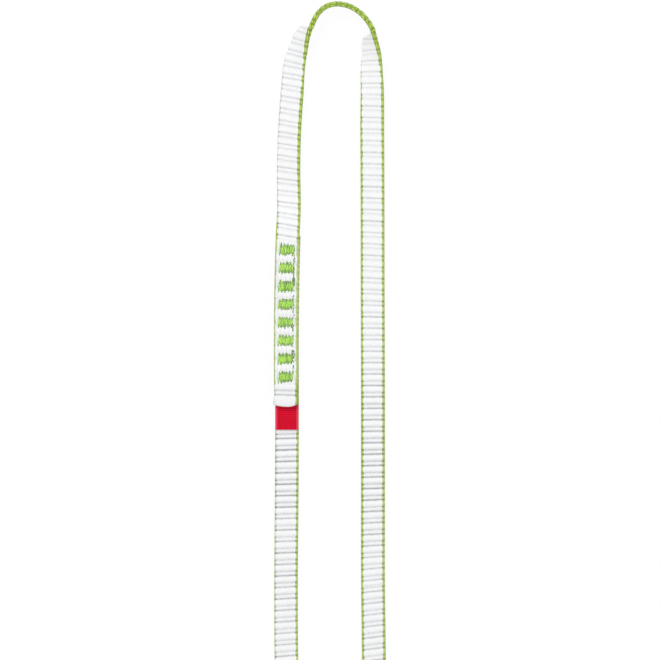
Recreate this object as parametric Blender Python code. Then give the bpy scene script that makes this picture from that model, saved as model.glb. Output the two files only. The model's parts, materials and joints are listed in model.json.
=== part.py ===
"""A sewn runner: one narrow woven tape closed into an endless loop by a stitched lap splice.

The loop lies on a table. Its two legs are flat, side by side, and the bend at each end stands on
the tape's edge, so each leg goes through a quarter twist into the bend. On the left leg the tape's
two ends lap over each other and are held by a row of bar tacks, with a folded label caught under
the upper end.

Everything is modelled flat, in tape space (across the tape, through its thickness, along it), and
then laid onto the route that the loop follows.

Frame, in metres: +Z up, +Y along the legs towards the crown of the far bend, +X across them. The
origin is the middle of the underside of the bounding box.
"""

import math

import bmesh
import bpy
import numpy as np

MM = 0.001

# ---- the tape ----
TAPE_WIDTH = 7.8 * MM
TAPE_THICKNESS = 1.7 * MM
TAPE_CHAMFER = 0.3 * MM
SELVEDGE_WIDTH = 0.6 * MM
SELVEDGE_THICKNESS = 1.5 * MM
SELVEDGE_CHAMFER = 0.2 * MM
SEAM_GAP = 0.1 * MM  # between the white ground and each dyed edge

# ---- the loop, which is 600 mm once round ----
LAID_LENGTH = 289.8 * MM  # from crown to crown, outside

# ---- the lap splice, measured from the upper end of the tape ----
LAP_LENGTH = 54.2 * MM
LAP_LIFT = 0.4 * MM  # the lower tape stands off the table by its stitches
LAP_GAP = 0.2 * MM  # between the two tapes
LAP_SHIFT = -0.33 * MM  # the upper tape lies a little to the left of the lower
LAP_RAMP = 17.0 * MM  # over which the upper tape comes down to the table
LIFT_START = 34.0 * MM  # before the lap, where the lower tape leaves the table
LIFT_RUN = 20.0 * MM

# ---- the bar tacks ----
TACK_COUNT = 8
TACK_PITCH = 5.84 * MM
FIRST_TACK = 8.94 * MM  # its middle, from the upper end of the tape
TACK_LENGTH = 3.2 * MM  # along the tape
TACK_WIDTH = 4.8 * MM  # across the tape
TACK_SHIFT = -0.2 * MM  # its middle, from the middle line of the tape
TACK_STROKES = 13
TACK_LEAN = 0.04 * MM  # strokes lean by turns to either side, as a zigzag does
TACK_DENT = 0.25 * MM  # how deep the stitches pull into the tape
DENT_EDGE = 0.6 * MM  # over which the tape swells up again beside a tack
THREAD_DIAMETER = 0.28 * MM
THREAD_GAP = 0.06 * MM
TRAVEL_SIDE = 2.5 * MM  # the thread steps from tack to tack along this line

# ---- the label, folded once, its two tails caught under the upper tape ----
LABEL_WIDTH = 7.7 * MM
LABEL_PLY = 0.25 * MM
LABEL_FOLD_GAP = 0.1 * MM
LABEL_REACH = 8.2 * MM  # what shows beyond the upper end of the tape
LABEL_TUCK = 9.4 * MM  # what is held under it, as far as the first tack
LABEL_GAP = 0.05 * MM
LABEL_RAMP = 5.0 * MM  # over which the upper tape comes down past the label's tails

# ---- how finely the shapes are divided ----
BEND_STEP = 2.6 * MM
BEND_STEPS = 19  # to either side of a crown
TWIST_STEPS = (4, 8)  # the steps that hold the sharp twist, which are halved
SHARPEST_STEPS = (4.75, 5.25)  # where the sharpest of it needs a ring as well, in steps
READ_STEP = 0.2 * MM  # to either side of a place where the route's direction is read
LEG_STEP = 9.0 * MM
RAMP_STEPS = 5
FOLD_STEPS = 8

# ---- the route of the tape's right-hand edge, which stands uppermost in the bends ----
# x in mm, distance from the crown in mm, roll in degrees: a roll of 0 or 180 lies flat, and at 90
# the tape stands on its other edge.
UPPER_LEFT_LEG = [
    (-10.0, 130.0, 0),
    (-10.05, 109.0, 0),
    (-9.9, 93.0, 0),
    (-9.6, 80.0, 0),
    (-9.25, 69.0, 4),
    (-9.6, 55.0, 13),
]
BEND = [
    (-9.35, 41.5, 20),
    (-8.55, 29.0, 25),
    (-8.05, 21.0, 30),
    (-7.5, 16.5, 39),
    (-6.95, 12.4, 51),
    (-6.4, 9.9, 60),
    (-6.13, 9.0, 67),
    (-5.8, 7.9, 86),
    (-5.2, 6.3, 90),
    (-3.85, 4.0, 90),
    (-1.2, 1.69, 90),
    (2.5, 0.9, 90),
    (6.6, 1.785, 90),
    (9.9, 3.9, 90),
    (11.65, 5.8, 90),
    (12.8, 7.4, 90),
    (13.9, 9.6, 91),
    (14.35, 10.4, 117),
    (16.0, 15.8, 133),
    (16.75, 20.2, 145),
    (17.35, 29.0, 155),
    (17.5, 41.0, 170),
]
RIGHT_LEG = [
    (17.6, 58.0, 180),
    (17.65, 90.0, 180),
    (17.75, 125.0, 180),
    (17.75, 165.0, 180),
    (17.75, 185.0, 180),
    (18.0, 207.0, 180),
    (18.17, 232.0, 180),
]
LOWER_LEFT_LEG = [
    (-9.85, 232.0, 6),
    (-10.25, 208.0, 0),
    (-10.32, 187.0, 0),
    (-10.08, 155.0, 0),
]

COLOURS = {
    "tape_white": (0.84, 0.84, 0.83),
    "edge_green": (0.39, 0.53, 0.12),
    "thread_green": (0.35, 0.60, 0.19),
    "label_red": (0.58, 0.012, 0.04),
}
ROUGHNESS = 0.75


def half_loop(points, end):
    """Points of the route in metres, their distance taken from the crown at end (+1 or -1)."""
    return [(x * MM, end * (LAID_LENGTH / 2 - depth * MM), roll) for x, depth, roll in points]


def route_points():
    """The whole closed route from the upper end of the tape: up, over, down, under and back."""
    return (
        half_loop(UPPER_LEFT_LEG + BEND + RIGHT_LEG, 1)
        + half_loop(reversed(BEND), -1)
        + half_loop(LOWER_LEFT_LEG, 1)
    )


def rise(value, start, end):
    """0 before start, 1 after end, and a smooth step between them."""
    t = np.clip((value - start) / (end - start), 0.0, 1.0)
    return t * t * (3 - 2 * t)


class Route:
    """The smooth closed line of the tape's right-hand edge, by the distance along it."""

    SAMPLES = 40  # between two of its points

    def __init__(self, points):
        knots = np.array(points + points[:1], dtype=float)
        spans = np.linalg.norm(np.diff(knots[:, :2], axis=0), axis=1)
        before = np.roll(knots[:-1], 1, axis=0)
        after = np.roll(knots[:-1], -1, axis=0)
        slopes = (after - before) / (np.roll(spans, 1) + spans)[:, None]
        slopes = np.vstack([slopes, slopes[:1]])
        table = []
        for i, span in enumerate(spans):
            t = np.linspace(0.0, 1.0, self.SAMPLES, endpoint=False)[:, None]
            table.append(
                (2 * t**3 - 3 * t**2 + 1) * knots[i]
                + (t**3 - 2 * t**2 + t) * span * slopes[i]
                + (3 * t**2 - 2 * t**3) * knots[i + 1]
                + (t**3 - t**2) * span * slopes[i + 1]
            )
        self.table = np.vstack(table + [knots[:1]])
        steps = np.linalg.norm(np.diff(self.table[:, :2], axis=0), axis=1)
        self.along = np.concatenate([[0.0], np.cumsum(steps)])
        self.length = self.along[-1]
        ends = (self.table[:, 1].argmax(), self.table[:, 1].argmin())
        self.crowns = sorted(self.along[end] for end in ends)

    def read(self, along):
        """x, y and roll at a distance along the route, which may run on past once round."""
        wrapped = along % self.length
        return np.array([np.interp(wrapped, self.along, column) for column in self.table.T])

    def frame(self, along):
        """The tape's middle line, its across direction and its outward normal, at one place."""
        x, y, roll = self.read(along)
        ahead = (self.read(along + READ_STEP) - self.read(along - READ_STEP))[:2]
        ahead /= np.linalg.norm(ahead)
        beside = np.array([ahead[1], -ahead[0], 0.0])
        up = np.array([0.0, 0.0, 1.0])
        angle = math.radians(roll)
        across = math.cos(angle) * beside + math.sin(angle) * up
        normal = math.cos(angle) * up - math.sin(angle) * beside
        lean = abs(math.sin(angle)) * TAPE_WIDTH / 2 + abs(math.cos(angle)) * TAPE_THICKNESS / 2
        middle = np.array([x, y, 0.0]) - math.cos(angle) * beside * TAPE_WIDTH / 2
        return middle + up * lean, across, normal

    def place(self, across, height, along):
        """A point of tape space, laid onto the route."""
        middle, beside, normal = self.frame(along)
        shift = LAP_SHIFT * (1 - rise(along, LAP_LENGTH, LAP_LENGTH + LAP_RAMP))
        middle += np.array([shift, 0.0, lift(along, self.length)])
        return middle + beside * across + normal * height


def lift(along, once_round):
    """How far the tape's middle line stands above its own rest on the table."""
    on_lower_tape = LAP_LIFT + TAPE_THICKNESS + LAP_GAP
    upper = on_lower_tape * (1 - rise(along, LAP_LENGTH, LAP_LENGTH + LAP_RAMP))
    label_room = 2 * LABEL_PLY + LABEL_FOLD_GAP + 2 * LABEL_GAP - LAP_GAP
    over_label = label_room * (1 - rise(along, LABEL_TUCK, LABEL_TUCK + LABEL_RAMP))
    lift_start = once_round - LIFT_START
    lower = LAP_LIFT * rise(along, lift_start, lift_start + LIFT_RUN)
    return upper + over_label + lower


def tack_middles():
    """Distance of each bar tack from the upper end of the tape."""
    return [FIRST_TACK + k * TACK_PITCH for k in range(TACK_COUNT)]


def dent(from_end):
    """How deep the stitches pull the tape in, at a distance from the upper end."""
    nearest = min(abs(from_end - middle) for middle in tack_middles())
    return float(np.interp(nearest, [TACK_LENGTH / 2, TACK_LENGTH / 2 + DENT_EDGE], [TACK_DENT, 0.0]))


# ---- shapes in tape space: x across, y through the thickness, z along ----


def bevelled_profile(left, right, thickness, chamfer):
    """A rectangle with its corners cut off, as points counter-clockwise."""
    top = thickness / 2
    return [
        (left + chamfer, -top),
        (right - chamfer, -top),
        (right, -top + chamfer),
        (right, top - chamfer),
        (right - chamfer, top),
        (left + chamfer, top),
        (left, top - chamfer),
        (left, -top + chamfer),
    ]


def extrude_along(profile, stations):
    """A bar of the given profile, with a ring of edges at each station."""
    shape = bmesh.new()
    end = shape.faces.new([shape.verts.new((x, y, stations[0])) for x, y in profile])
    for start, stop in zip(stations, stations[1:]):
        grown = bmesh.ops.extrude_face_region(shape, geom=[end, *end.edges])["geom"]
        end = next(item for item in grown if isinstance(item, bmesh.types.BMFace))
        bmesh.ops.translate(shape, verts=list(end.verts), vec=(0.0, 0.0, stop - start))
    return shape


def divide(marks, longest):
    """The marks in order, with even steps put in wherever two of them are too far apart."""
    stations = []
    for start, stop in zip(marks, marks[1:]):
        count = math.ceil((stop - start) / longest)
        stations += [start + (stop - start) * k / count for k in range(count)]
    return stations + [marks[-1]]


def tape_stations(route):
    """Where the tape needs a ring of edges, from its upper end to its lower end."""
    half = TACK_LENGTH / 2
    edges = (-half - DENT_EDGE, -half, half, half + DENT_EDGE)
    dents = [middle + edge for middle in tack_middles() for edge in edges]
    marks = [0.0] + dents + [LAP_LENGTH]
    marks += [LAP_LENGTH + LAP_RAMP * k / RAMP_STEPS for k in range(1, RAMP_STEPS + 1)]
    twist = [(k + 1) * BEND_STEP for k in range(*TWIST_STEPS)]
    twist += [step * BEND_STEP for step in SHARPEST_STEPS]
    reach = sorted([(k + 0.5) * BEND_STEP for k in range(BEND_STEPS)] + twist)
    for crown in route.crowns:
        marks += [crown - step for step in reversed(reach)] + [crown + step for step in reach]
    marks += [route.length - LIFT_START + LIFT_RUN * k / RAMP_STEPS for k in range(RAMP_STEPS + 1)]
    marks += [route.length + dent_mark for dent_mark in dents] + [route.length + LAP_LENGTH]
    return divide(marks, LEG_STEP)


def pull_in_at_tacks(shape, route):
    """Dent the outer face of both tapes where the bar tacks press on them."""
    for vert in shape.verts:
        if vert.co.z < LAP_LENGTH and vert.co.y > 0:
            vert.co.y -= dent(vert.co.z)
        if vert.co.z > route.length and vert.co.y < 0:
            vert.co.y += dent(vert.co.z - route.length)


def lay_on_route(shape, route):
    """Move a shape from tape space onto the route, with its faces pointing out."""
    for vert in shape.verts:
        vert.co = route.place(*vert.co)
    bmesh.ops.recalc_face_normals(shape, faces=shape.faces)


# ---- objects ----


def cloth_material(name, slot):
    """A plain woven material in one of the object's colours."""
    material = bpy.data.materials.new(f"{name}_{slot}")
    material.use_nodes = True
    shader = material.node_tree.nodes["Principled BSDF"]
    shader.inputs["Base Color"].default_value = (*COLOURS[slot], 1.0)
    shader.inputs["Roughness"].default_value = ROUGHNESS
    shader.inputs["Metallic"].default_value = 0.0
    material.diffuse_color = (*COLOURS[slot], 1.0)
    return material


def add_object(name, data, slot):
    """Link a mesh or a curve to the scene as one named sub-part."""
    data.materials.append(cloth_material(name, slot))
    piece = bpy.data.objects.new(name, data)
    bpy.context.scene.collection.objects.link(piece)


def add_mesh(name, shape, slot):
    """Turn a finished bmesh into a sub-part."""
    mesh = bpy.data.meshes.new(name)
    shape.to_mesh(mesh)
    shape.free()
    add_object(name, mesh, slot)


def add_thread(name, path, route):
    """A sewing thread along a path in tape space, laid onto the route as a sub-part."""
    curve = bpy.data.curves.new(name, "CURVE")
    curve.dimensions = "3D"
    curve.bevel_depth = THREAD_DIAMETER / 2
    curve.bevel_resolution = 1
    curve.use_fill_caps = True
    line = curve.splines.new("POLY")
    line.points.add(len(path) - 1)
    for point, place in zip(line.points, path):
        point.co = (*route.place(*place), 1.0)
    add_object(name, curve, "thread_green")


def add_tape(route):
    """The white ground of the tape, from one cut end to the other."""
    side = TAPE_WIDTH / 2 - SELVEDGE_WIDTH - SEAM_GAP
    profile = bevelled_profile(-side, side, TAPE_THICKNESS, TAPE_CHAMFER)
    shape = extrude_along(profile, tape_stations(route))
    pull_in_at_tacks(shape, route)
    lay_on_route(shape, route)
    add_mesh("tape", shape, "tape_white")


def add_selvedges(route):
    """The dyed yarns bound along each edge of the tape."""
    outer = TAPE_WIDTH / 2
    inner = outer - SELVEDGE_WIDTH
    for name, left, right in (("selvedge_left", -outer, -inner), ("selvedge_right", inner, outer)):
        profile = bevelled_profile(left, right, SELVEDGE_THICKNESS, SELVEDGE_CHAMFER)
        shape = extrude_along(profile, tape_stations(route))
        lay_on_route(shape, route)
        add_mesh(name, shape, "edge_green")


def label_outline():
    """The folded label from its side: (height over the tape's middle, distance from the lap's end)."""
    outer = LABEL_PLY + LABEL_FOLD_GAP / 2
    inner = LABEL_FOLD_GAP / 2
    middle = TAPE_THICKNESS / 2 + LABEL_GAP + outer
    fold = outer - LABEL_REACH
    turn = np.linspace(math.pi / 2, 3 * math.pi / 2, FOLD_STEPS + 1)
    outside = [(middle + outer * math.sin(a), fold + outer * math.cos(a)) for a in turn]
    inside = [(middle + inner * math.sin(a), fold + inner * math.cos(a)) for a in turn[::-1]]
    lower_tail = [(middle - outer, LABEL_TUCK), (middle - inner, LABEL_TUCK)]
    upper_tail = [(middle + inner, LABEL_TUCK), (middle + outer, LABEL_TUCK)]
    return outside + lower_tail + inside + upper_tail


def add_label(route):
    """The woven label: a short ribbon folded back on itself, extruded across the tape."""
    shape = bmesh.new()
    left = -LABEL_WIDTH / 2
    ends = [shape.verts.new((left, height, route.length + along)) for height, along in label_outline()]
    face = shape.faces.new(ends)
    grown = bmesh.ops.extrude_face_region(shape, geom=[face])["geom"]
    side = [item for item in grown if isinstance(item, bmesh.types.BMVert)]
    bmesh.ops.translate(shape, verts=side, vec=(LABEL_WIDTH, 0.0, 0.0))
    lay_on_route(shape, route)
    add_mesh("label", shape, "label_red")


def tack_path(side, start):
    """A bar tack's thread, to and fro along the tape, on its upper (1) or lower (-1) face."""
    height = side * (TAPE_THICKNESS / 2 - TACK_DENT + THREAD_GAP + THREAD_DIAMETER / 2)
    reach = (TACK_LENGTH - THREAD_DIAMETER) / 2
    middles = TACK_SHIFT + np.linspace(-1, 1, TACK_STROKES) * (TACK_WIDTH - THREAD_DIAMETER) / 2
    path = []
    for stroke, across in enumerate(middles):
        way = 1 if stroke % 2 else -1
        path.append((across - TACK_LEAN / 2, height, start - way * reach))
        path.append((across + TACK_LEAN / 2, height, start + way * reach))
    return path


def travel_path(side, start):
    """The thread's step over the swell between a bar tack, whose middle is at start, and the next."""
    on_top = TAPE_THICKNESS / 2 + THREAD_GAP + THREAD_DIAMETER / 2
    near = TACK_LENGTH / 2
    swell = near + DENT_EDGE
    return [
        (TRAVEL_SIDE, side * (on_top - TACK_DENT), start + near),
        (TRAVEL_SIDE, side * on_top, start + swell),
        (TRAVEL_SIDE, side * on_top, start + TACK_PITCH - swell),
        (TRAVEL_SIDE, side * (on_top - TACK_DENT), start + TACK_PITCH - near),
    ]


def add_stitching(route):
    """The bar tacks and the steps between them, on the lap's upper and lower faces."""
    for name, side, lap_start in (("face", 1, 0.0), ("back", -1, route.length)):
        for number, middle in enumerate(tack_middles(), start=1):
            start = lap_start + middle
            add_thread(f"bar_tack_{name}_{number}", tack_path(side, start), route)
            if number < TACK_COUNT:
                add_thread(f"travel_stitch_{name}_{number}", travel_path(side, start), route)


def main():
    for thing in list(bpy.data.objects):
        bpy.data.objects.remove(thing)
    route = Route(route_points())
    add_tape(route)
    add_selvedges(route)
    add_label(route)
    add_stitching(route)


main()
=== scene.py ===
"""A sewn runner on a pale table: a narrow woven tape closed into a loop by a bar-tacked lap splice.

Every woven and sewn piece is modelled flat, in tape space, and then laid onto the route of the
tape. Tape space is in millimetres: across the tape, through its thickness from its middle, and
along it from the cut end of the upper tape. The scene is in metres, in the frame of the CAD model.
"""

import json
import logging
import math
from dataclasses import dataclass, field
from enum import Enum, IntEnum

import bmesh
import bpy
import numpy as np
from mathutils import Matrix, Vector

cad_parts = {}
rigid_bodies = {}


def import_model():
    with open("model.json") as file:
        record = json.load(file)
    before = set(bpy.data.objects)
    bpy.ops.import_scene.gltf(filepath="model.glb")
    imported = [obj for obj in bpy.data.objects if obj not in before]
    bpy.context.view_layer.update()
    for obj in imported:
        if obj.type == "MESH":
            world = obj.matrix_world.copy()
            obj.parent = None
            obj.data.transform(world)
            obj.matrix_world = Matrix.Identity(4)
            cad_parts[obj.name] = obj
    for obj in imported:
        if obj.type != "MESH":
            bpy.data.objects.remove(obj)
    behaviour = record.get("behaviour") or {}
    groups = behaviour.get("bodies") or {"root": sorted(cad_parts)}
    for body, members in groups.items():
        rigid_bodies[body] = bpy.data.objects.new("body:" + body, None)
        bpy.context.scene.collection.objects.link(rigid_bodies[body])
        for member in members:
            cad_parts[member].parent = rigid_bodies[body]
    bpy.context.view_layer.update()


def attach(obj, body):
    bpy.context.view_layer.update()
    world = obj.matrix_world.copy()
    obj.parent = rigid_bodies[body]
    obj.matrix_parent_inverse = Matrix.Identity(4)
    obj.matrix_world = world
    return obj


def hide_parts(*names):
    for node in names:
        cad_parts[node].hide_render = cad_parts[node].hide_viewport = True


LOG = logging.getLogger("runner")
MM = 0.001
SEED = 7
BODY = "root"
WHITE = (1.0, 1.0, 1.0, 1.0)
TAPE_WIDTH = 7.8
TAPE_THICKNESS = 1.7
CORD_INSET = 0.5
CORD_STEP = 2.0

Point = tuple[float, float, float]
Span = tuple[float, float]
Stops = tuple[Span, ...]


class Side(IntEnum):
    """The tape's two edges, and the way from its middle line to each."""

    LEFT = -1
    RIGHT = 1


class Face(Enum):
    """The two faces of the lap, by the words in the CAD nodes' names."""

    UPPER = "face"
    BACK = "back"


# ---------------------------------------------------------------- the route and the lap

# The tape's right-hand edge, which stands uppermost in the bends: x in mm, distance from the crown
# in mm, and roll in degrees. The places are the solid's. Beside the bends the roll is up to 8
# degrees flatter than the solid's, which lowers the tape's other edge by about 1 mm at most.
UPPER_LEFT_LEG = [
    (-10, 130, 0), (-10.05, 109, 0), (-9.9, 93, 0), (-9.6, 80, 0), (-9.25, 69, 4), (-9.6, 55, 13),
]
BEND = [
    (-9.35, 41.5, 18), (-8.55, 29, 21), (-8.05, 21, 27), (-7.5, 16.5, 38), (-6.95, 12.4, 51),
    (-6.4, 9.9, 60), (-6.13, 9, 67), (-5.8, 7.9, 86), (-5.2, 6.3, 90), (-3.85, 4, 90),
    (-1.2, 1.69, 90), (2.5, 0.9, 90), (6.6, 1.785, 90), (9.9, 3.9, 90), (11.65, 5.8, 90),
    (12.8, 7.4, 90), (13.9, 9.6, 91), (14.35, 10.4, 117), (16, 15.8, 137), (16.75, 20.2, 151),
    (17.35, 29, 163), (17.5, 41, 175),
]
RIGHT_LEG = [
    (17.6, 58, 180), (17.65, 90, 180), (17.75, 125, 180), (17.75, 165, 180), (17.75, 185, 180),
    (18, 207, 180), (18.17, 232, 180),
]
LOWER_LEFT_LEG = [
    (-9.85, 232, 6), (-10.25, 208, 0), (-10.32, 187, 0), (-10.08, 155, 0),
]
LAID_LENGTH = 289.8


def half_loop(points: list[Point], end: int) -> list[Point]:
    """Turn distances from a crown, the far one (1) or the near one (-1), into places along y."""
    return [(x, end * (LAID_LENGTH / 2 - depth), roll) for x, depth, roll in points]


def route_points() -> list[Point]:
    """Return the closed route from the upper tape's cut end: up, over, down, under and back."""
    far_half = half_loop(UPPER_LEFT_LEG + BEND + RIGHT_LEG, 1)
    return far_half + half_loop(BEND[::-1], -1) + half_loop(LOWER_LEFT_LEG, 1)


def rise(value: np.ndarray, start: float, end: float) -> np.ndarray:
    """Step smoothly from 0 at start, or before it, to 1 at end."""
    t = unit((value - start) / (end - start))
    return t * t * (3 - 2 * t)


def fall(value: np.ndarray, start: float, end: float) -> np.ndarray:
    """Step smoothly from 1 at start, or before it, to 0 at end."""
    return 1 - rise(value, start, end)


def ring_angles(sides: int) -> np.ndarray:
    """Return evenly spaced angles once round a section."""
    return np.linspace(0, 2 * math.pi, sides, endpoint=False)


def squared(value: np.ndarray, power: float) -> np.ndarray:
    """Square off a sine or cosine, so that a section is fuller than an ellipse."""
    return np.sign(value) * np.abs(value) ** power


def unit(value: np.ndarray) -> np.ndarray:
    """Keep values between 0 and 1."""
    return np.clip(value, 0, 1)


def both_faces(upper: np.ndarray, lower: np.ndarray) -> np.ndarray:
    """Join the columns of the upper face to those of the lower one, which go back."""
    return np.hstack([upper, lower[:, ::-1]])


def read_stops(stops: Stops, along: np.ndarray) -> np.ndarray:
    """Read what changes along the tape in straight lines from stop to stop."""
    at, values = np.array(stops).T
    return np.interp(along, at, values)


class Route:
    """The smooth closed line of the tape's right-hand edge, read by the distance along it."""

    SAMPLES = 40
    STEP = 0.2

    def __init__(self, points: list[Point]) -> None:
        """Run a smooth curve through the points.

        Args:
            points: x, y and roll of each point, in order, closed back to the first.
        """
        knots = np.array(points + points[:1], dtype=float)
        spans = np.linalg.norm(np.diff(knots[:, :2], axis=0), axis=1)
        before = np.roll(knots[:-1], 1, axis=0)
        after = np.roll(knots[:-1], -1, axis=0)
        slopes = (after - before) / (np.roll(spans, 1) + spans)[:, None]
        slopes = np.vstack([slopes, slopes[:1]])
        t = np.linspace(0.0, 1.0, self.SAMPLES, endpoint=False)[:, None]
        pieces = [
            (2 * t**3 - 3 * t**2 + 1) * knots[i]
            + (t**3 - 2 * t**2 + t) * span * slopes[i]
            + (3 * t**2 - 2 * t**3) * knots[i + 1]
            + (t**3 - t**2) * span * slopes[i + 1]
            for i, span in enumerate(spans)
        ]
        self.table = np.vstack(pieces + [knots[:1]])
        steps = np.linalg.norm(np.diff(self.table[:, :2], axis=0), axis=1)
        self.along = np.concatenate([[0.0], np.cumsum(steps)])
        self.length = float(self.along[-1])

    def read(self, along: np.ndarray) -> np.ndarray:
        """Read x, y and roll, one row for each distance; a distance may run past once round."""
        wrapped = np.mod(along, self.length)
        return np.stack([np.interp(wrapped, self.along, column) for column in self.table.T], axis=-1)


@dataclass(frozen=True)
class Lap:
    """The splice, where the upper end of the tape lies on the lower."""

    length: float = 54.2
    lift: float = 0.4
    gap: float = 0.2
    shift: float = -0.33
    ramp: float = 17.0
    lift_start: float = 34.0
    lift_run: float = 20.0
    label_room: float = 0.5
    label_tuck: float = 9.4
    label_ramp: float = 5.0

    def raised(self, along: np.ndarray, once_round: float) -> np.ndarray:
        """Say how far the tape stands above its own rest on the table.

        Args:
            along: distances along the tape.
            once_round: the length of the loop.

        Returns:
            The lift at each distance.
        """
        on_lower = self.lift + TAPE_THICKNESS + self.gap
        upper = on_lower * fall(along, self.length, self.length + self.ramp)
        label = self.label_room * fall(along, self.label_tuck, self.label_tuck + self.label_ramp)
        start = once_round - self.lift_start
        return upper + label + self.lift * rise(along, start, start + self.lift_run)

    def shifted(self, along: np.ndarray) -> np.ndarray:
        """Say how far the upper tape lies to the right of the lower, which is a negative distance."""
        return self.shift * fall(along, self.length, self.length + self.ramp)


@dataclass(frozen=True)
class TapeSpace:
    """Lays points of tape space onto the route."""

    route: Route
    lap: Lap
    width: float = TAPE_WIDTH
    thickness: float = TAPE_THICKNESS

    @property
    def end(self) -> float:
        """Distance of the lower cut end from the upper one, along the tape."""
        return self.route.length + self.lap.length

    def place(self, across: np.ndarray, height: np.ndarray, along: np.ndarray) -> np.ndarray:
        """Lay points onto the route.

        Args:
            across: distance from the tape's middle line towards its right edge.
            height: distance from the tape's middle along its outward normal.
            along: distance from the upper cut end.

        Returns:
            The points in metres, in an array with one more axis.
        """
        step = Route.STEP
        x, y, roll = np.moveaxis(self.route.read(along), -1, 0)
        ahead = (self.route.read(along + step) - self.route.read(along - step))[..., :2]
        ahead = ahead / np.linalg.norm(ahead, axis=-1, keepdims=True)
        cos, sin = np.cos(np.radians(roll)), np.sin(np.radians(roll))
        lean = np.abs(sin) * self.width / 2 + np.abs(cos) * self.thickness / 2
        level = lean + self.lap.raised(along, self.route.length)
        sideways = cos * (across - self.width / 2) - sin * height
        points = [
            x + self.lap.shifted(along) + ahead[..., 1] * sideways,
            y - ahead[..., 0] * sideways,
            level + sin * across + cos * height,
        ]
        return np.stack(points, axis=-1) * MM


# ---------------------------------------------------------------- meshes


@dataclass
class Skin:
    """A closed tube in tape space: one row of the arrays for each ring of its vertices."""

    across: np.ndarray
    height: np.ndarray
    along: np.ndarray
    # shade carries painted light and shade, and some random tone: 0 gives a finish's deep colour, 1 its
    # full one.
    shade: np.ndarray
    worn: np.ndarray | float = 0.0
    girth: float = 1.0

    WELD = 1e-7

    def mesh(self, name: str, space: TapeSpace) -> bpy.types.Mesh:
        """Wrap a grid round the tube, lay it on the route and close its ends.

        Args:
            name: the mesh's name.
            space: where the tape lies.

        Returns:
            The finished mesh, with a UV map in mm and its shade and wear as attributes.
        """
        rows, ring = self.across.shape
        flat = bmesh.new()
        bmesh.ops.create_grid(flat, x_segments=ring, y_segments=rows - 1, size=1.0)
        mesh = bpy.data.meshes.new(name)
        flat.to_mesh(mesh)
        flat.free()
        worn = np.broadcast_to(self.worn, self.shade.shape)
        parts = (self.across, self.height, self.along, self.shade, worn)
        closed = [np.hstack([part, part[:, :1]]) for part in parts]
        places = space.place(*closed[:3])
        mesh.vertices.foreach_set("co", places.astype(np.float32).ravel())
        for key, values in (("shade", closed[3]), ("worn", closed[4])):
            attribute = mesh.attributes.new(key, "FLOAT", "POINT")
            attribute.data.foreach_set("value", values.astype(np.float32).ravel())
        corners = np.empty(len(mesh.loops), dtype=np.int32)
        mesh.loops.foreach_get("vertex_index", corners)
        round_it = (corners % (ring + 1)) * (self.girth / ring)
        down_it = closed[2].ravel()[corners]
        uv = mesh.uv_layers.new(name="cloth")
        uv.uv.foreach_set("vector", np.stack([round_it, down_it], axis=-1).astype(np.float32).ravel())
        self._close(mesh, rows, ring)
        return mesh

    @staticmethod
    def _close(mesh: bpy.types.Mesh, rows: int, ring: int) -> None:
        """Weld the tube's seam, fill its two ends and turn its faces out.

        Args:
            mesh: the tube, still open along its seam and at its ends.
            rows: how many rings it has.
            ring: how many vertices a ring has.
        """
        shape = bmesh.new()
        shape.from_mesh(mesh)
        shape.verts.ensure_lookup_table()
        seam = [shape.verts[row * (ring + 1) + side] for row in range(rows) for side in (0, ring)]
        bmesh.ops.remove_doubles(shape, verts=seam, dist=Skin.WELD)
        rim = [edge for edge in shape.edges if edge.is_boundary]
        bmesh.ops.holes_fill(shape, edges=rim, sides=0)
        bmesh.ops.recalc_face_normals(shape, faces=shape.faces)
        shape.to_mesh(mesh)
        shape.free()
        mesh.shade_smooth()


def add_object(name: str, data: bpy.types.ID) -> bpy.types.Object:
    """Put an object into the scene, at the origin.

    Args:
        name: its name.
        data: its mesh, lamp or camera.

    Returns:
        The new object.
    """
    made = bpy.data.objects.new(name, data)
    bpy.context.scene.collection.objects.link(made)
    return made


def add_piece(mesh: bpy.types.Mesh, finish: bpy.types.Material, slot: str, *nodes: str) -> bpy.types.Object:
    """Show a mesh as a piece of the runner.

    Args:
        mesh: the mesh, which also gives the piece its name.
        finish: its material.
        slot: a material slot's name; not used.
        nodes: the CAD nodes that it stands for.

    Returns:
        The new object.
    """
    mesh.materials.append(finish)
    piece = add_object(mesh.name, mesh)
    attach(piece, BODY)
    if nodes:
        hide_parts(*nodes)
    return piece


# ---------------------------------------------------------------- shader groups and finishes


class Socket(Enum):
    """The kinds of socket that the shader groups have."""

    VALUE = "NodeSocketFloat"
    COLOUR = "NodeSocketColor"
    VECTOR = "NodeSocketVector"


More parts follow.
